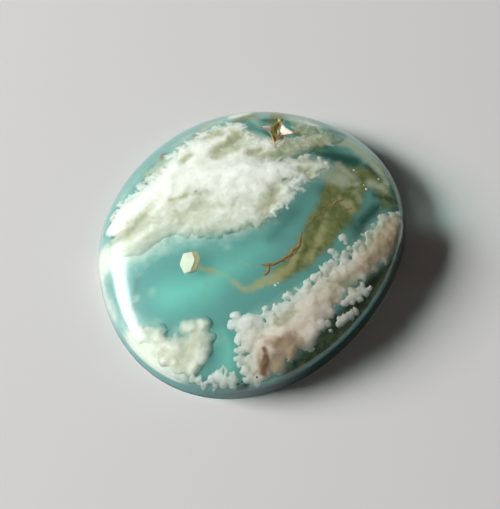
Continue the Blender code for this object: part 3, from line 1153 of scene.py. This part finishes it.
# a six-sided cream crystal close under the polish, over a darker tan copy that leans out to its right as
# painted shade for the crystal's shaded side
crystal = {
    "corners": [(-7.3, -4.0), (-6.3, -3.9), (-5.9, -4.9), (-6.4, -6.3), (-7.1, -6.6), (-7.7, -5.3)],
    "height": 0.35,
    "bevel": 0.08,
    "layers": {
        "cream_crystal": {
            "shift": (0, 0), "depth": 0.3, "material": "creamCrystal", "grain": (700, 3, 1.0),
            "dark": (0.68, 0.70, 0.52, 1), "light": (0.86, 0.88, 0.76, 1), "roughness": 0.6,
        },
        # painted shade: a darker tan copy of the crystal
        "tan_crystal": {
            "shift": (0.6, 0.15), "depth": 0.55, "material": "crystalShadeCopy", "grain": (700, 3, 1.0),
            "dark": (0.34, 0.33, 0.16, 1), "light": (0.46, 0.42, 0.24, 1), "roughness": 0.6,
        },
    },
}


def makeCrystal(name, layer):
    shape = bmesh.new()
    corners = []
    for across, up in crystal["corners"]:
        place = sunkBelow(across + layer["shift"][0], up + layer["shift"][1], layer["depth"])
        corners.append(shape.verts.new(place))
    shape.faces.new(corners)
    bottom = bmesh.ops.extrude_face_region(shape, geom=list(shape.faces))
    lowered = [part for part in bottom["geom"] if isinstance(part, bmesh.types.BMVert)]
    bmesh.ops.translate(shape, vec=(0, 0, -crystal["height"] * mm), verts=lowered)
    bmesh.ops.recalc_face_normals(shape, faces=shape.faces)
    bmesh.ops.bevel(
        shape, geom=list(shape.edges), offset=crystal["bevel"] * mm,
        segments=2, profile=0.5, affect="EDGES", material=-1,
    )
    mesh = meshFrom(shape, name)
    dress(mesh, mottledMaterial(layer["material"], layer))
    partOfStone(linked(name, mesh))


for crystalName, crystalLayer in crystal["layers"].items():
    makeCrystal(crystalName, crystalLayer)


# small bubbles, flecks, painted glints and dark grains under the polish, as (across, up, depth, radius)
specks = {
    "pale_specks": {
        "material": "paleSpeckAndGlint",
        "colour": (0.85, 0.88, 0.84, 1),
        "roughness": 0.4,
        "spots": [
            # the first four are painted glints: bright dots where small pits sparkle in the light
            (12.9, 8.0, 0.05, 0.14), (15.9, 7.3, 0.05, 0.12), (14.3, 5.4, 0.05, 0.16),
            (14.0, 5.9, 0.05, 0.10), (3.3, -8.1, 0.3, 0.15), (3.6, -7.8, 0.3, 0.09),
            (-9.6, 6.9, 0.3, 0.08), (-1.9, -12.3, 0.3, 0.08),
        ],
    },
    "dark_specks": {
        "material": "darkSpeck",
        "colour": (0.05, 0.03, 0.015, 1),
        "roughness": 0.4,
        "spots": [
            (4.6, -16.2, 0.1, 0.09), (1.2, -18.2, 0.1, 0.12), (-0.9, -18.9, 0.1, 0.13),
            (-0.5, -18.7, 0.1, 0.10), (9.9, -12.4, 0.2, 0.08), (13.0, -6.6, 0.2, 0.09),
            (12.5, -6.9, 0.2, 0.07),
        ],
    },
}


def speckMaterial(kind):
    material, _, shader = newMaterial(kind["material"])
    shader.inputs["Base Color"].default_value = kind["colour"]
    shader.inputs["Roughness"].default_value = kind["roughness"]
    return material


def makeSpecks(name, kind):
    shape = bmesh.new()
    for across, up, depth, radius in kind["spots"]:
        place = Matrix.Translation(sunkBelow(across, up, depth + radius))
        bmesh.ops.create_icosphere(shape, subdivisions=3, radius=radius * mm, matrix=place)
    mesh = meshFrom(shape, name)
    mesh.shade_smooth()
    dress(mesh, speckMaterial(kind))
    partOfStone(linked(name, mesh))


for specksName, specksKind in specks.items():
    makeSpecks(specksName, specksKind)


# the open cavity's walls, lined with a crust of small crystals
cavity = {
    "place": (13.42, 4.49),
    "reach": 3.3,
    "below": 0.03,
    "raise": 0.03,
    "cuts": 3,
    "crust": 0.10,
    "crustWidth": 0.35,
    "dip": 0.01,
    "thickness": 0.08,
    "paint": {
        "quartz": [
            (0.25, [(2.0, 14.3, 0.2), (2.6, 14.0, 0.4)]),
            (0.3, [(4.5, 14.0, 0.7), (5.7, 13.6, 0.35)]),
        ],
        "silt": [(0.4, [(3.7, 16.8, 0.6), (3.5, 15.0, 0.8), (3.3, 13.2, 0.7)])],
        "ochre": [(0.3, [(3.0, 11.3, 0.3), (3.4, 12.6, 0.5)])],
    },
    "grain": (900, 5, 0.4),
    "dark": (0.10, 0.05, 0.02, 1),
    "light": (0.26, 0.16, 0.07, 1),
    "stains": {
        "ochre": {
            "edge": (0.6, 0.2, 0.8, 1), "dark": (0.26, 0.13, 0.03, 1), "light": (0.46, 0.27, 0.08, 1),
        },
        "silt": {
            "edge": (0.6, 0.2, 0.8, 1), "dark": (0.16, 0.15, 0.04, 1), "light": (0.42, 0.38, 0.16, 1),
        },
        "quartz": {
            "edge": (0.6, 0.3, 0.7, 1), "dark": (0.34, 0.28, 0.22, 1), "light": (0.60, 0.56, 0.50, 1),
        },
    },
    "roughness": 0.7,
    "bump": 0.05,
}


def crustMaterial():
    material, tree, shader = newMaterial("cavityCrust")
    grain = noiseOf(tree, *cavity["grain"])
    colour = mixColour(tree, grain, cavity["dark"], cavity["light"])
    for name, look in cavity["stains"].items():
        mottled = mixColour(tree, grain, look["dark"], look["light"])
        colour = layOn(tree, colour, attributeOf(tree, name), grain, look["edge"], mottled)
    tree.links.new(colour, shader.inputs["Base Color"])
    shader.inputs["Roughness"].default_value = cavity["roughness"]
    bump = tree.nodes.new("ShaderNodeBump")
    bump.inputs["Distance"].default_value = cavity["bump"] * mm
    tree.links.new(grain, bump.inputs["Height"])
    tree.links.new(bump.outputs["Normal"], shader.inputs["Normal"])
    return material


def coverOfStone():
    # the stone's surface as if it had no cavity
    hull = bmesh.new()
    hull.from_mesh(stone.data)
    bmesh.ops.delete(hull, geom=hull.faces, context="FACES_ONLY")
    bmesh.ops.convex_hull(hull, input=hull.verts)
    cover = BVHTree.FromBMesh(hull)
    hull.free()
    return cover


def makeCavityCrust():
    shape = bmesh.new()
    shape.from_mesh(mergedCopy("cavity_crust"))
    cover = coverOfStone()
    outside = []
    for face in shape.faces:
        middle = face.calc_center_median()
        near = math.dist(middle.xy, Vector(cavity["place"]) * mm) < cavity["reach"] * mm
        if not near or cover.find_nearest(middle)[3] < cavity["below"] * mm:
            outside.append(face)
    bmesh.ops.delete(shape, geom=outside, context="FACES")
    bmesh.ops.triangulate(shape, faces=shape.faces)
    bmesh.ops.subdivide_edges(shape, edges=shape.edges, cuts=cavity["cuts"], use_grid_fill=True)
    shape.normal_update()
    for vertex in shape.verts:
        rough = 0
        if not vertex.is_boundary:
            rough = noise.noise(vertex.co / (cavity["crustWidth"] * mm)) * cavity["crust"]
        vertex.co += vertex.normal * (cavity["raise"] + max(rough, -cavity["dip"])) * mm
    shape.normal_update()
    bmesh.ops.solidify(shape, geom=list(shape.faces), thickness=cavity["thickness"] * mm)
    mesh = meshFrom(shape, "cavity_crust")
    stain(mesh, cavity["paint"])
    dress(mesh, crustMaterial())
    partOfStone(linked("cavity_crust", mesh))
    print("cavity_crust", len(mesh.polygons), "faces")


makeCavityCrust()
print("threads, crystals and cavity made")


# floor, light and camera. The floor lies a hair's breadth under the stone, so that the two don't share a
# plane. The window's light bends down as it enters the stone, so what lies inside is lit from higher up
floorLook = {"half": 3, "gap": 0.01, "colour": (0.78, 0.76, 0.74, 1), "roughness": 0.9, "specular": 0.1}
lamps = {
    "window": {
        "azimuth": 118, "elevation": 21, "distance": 1.0, "size": (0.52, 0.24), "power": 21.5,
        "colour": (0.97, 0.99, 1),
    },
    "window_inside": {
        "azimuth": 118, "elevation": 54, "distance": 1.0, "size": (0.6, 0.5), "power": 7.8,
        "colour": (1, 0.99, 0.97),
    },
}
room = {"colour": (1.0, 0.90, 0.83, 1), "strength": 0.05}


def makeFloor():
    shape = bmesh.new()
    place = Matrix.Translation((0, 0, -floorLook["gap"] * mm))
    bmesh.ops.create_grid(shape, x_segments=1, y_segments=1, size=floorLook["half"], matrix=place)
    mesh = meshFrom(shape, "floor")
    material, _, shader = newMaterial("paleFloor")
    shader.inputs["Base Color"].default_value = floorLook["colour"]
    shader.inputs["Roughness"].default_value = floorLook["roughness"]
    shader.inputs["Specular IOR Level"].default_value = floorLook["specular"]
    dress(mesh, material)
    linked("floor", mesh)


def directionFrom(azimuth, elevation):
    turn = math.radians(azimuth)
    rise = math.radians(elevation)
    return Vector((math.cos(rise) * math.cos(turn), math.cos(rise) * math.sin(turn), math.sin(rise)))


def placeFacing(holder, way, place):
    holder.location = place
    holder.rotation_euler = way.to_track_quat("Z", "Y").to_euler()


def makeLamp(name, pieces):
    # an area lamp that lights these pieces only
    look = lamps[name]
    lamp = bpy.data.lights.new(name, "AREA")
    lamp.shape = "RECTANGLE"
    lamp.size, lamp.size_y = look["size"]
    lamp.energy = look["power"]
    lamp.color = look["colour"]
    holder = linked(name, lamp)
    way = directionFrom(look["azimuth"], look["elevation"])
    placeFacing(holder, way, way * look["distance"])
    lit = bpy.data.collections.new(name + "_lit")
    for piece in pieces:
        lit.objects.link(piece)
    holder.light_linking.receiver_collection = lit
    return holder


def makeRoom():
    world = bpy.data.worlds.new("room")
    bpy.context.scene.world = world
    world.use_nodes = True
    background = world.node_tree.nodes["Background"]
    background.inputs["Color"].default_value = room["colour"]
    background.inputs["Strength"].default_value = room["strength"]
    bpy.context.scene.view_settings.view_transform = "Standard"


def makeCamera():
    camera = bpy.data.cameras.new("camera")
    camera.lens = viewFrom["lens"]
    camera.clip_start = viewFrom["nearest"] * mm
    holder = linked("camera", camera)
    way = directionFrom(viewFrom["azimuth"], viewFrom["elevation"])
    placeFacing(holder, way, Vector(viewFrom["aim"]) * mm + way * viewFrom["distance"] * mm)
    bpy.context.scene.camera = holder


makeFloor()
meshPieces = [piece for piece in bpy.data.objects if piece.type == "MESH"]
# the crust in the open cavity is lit by both lamps
outsideOnly = ("floor", "agate_skin")
openToAir = (*outsideOnly, "cavity_crust")
makeLamp("window", [piece for piece in meshPieces if piece.name in openToAir])
bentWindow = makeLamp("window_inside", [piece for piece in meshPieces if piece.name not in outsideOnly])
bentWindow.visible_glossy = False
bentWindow.data.use_shadow = False
makeRoom()
makeCamera()
print("floor, light and camera placed")
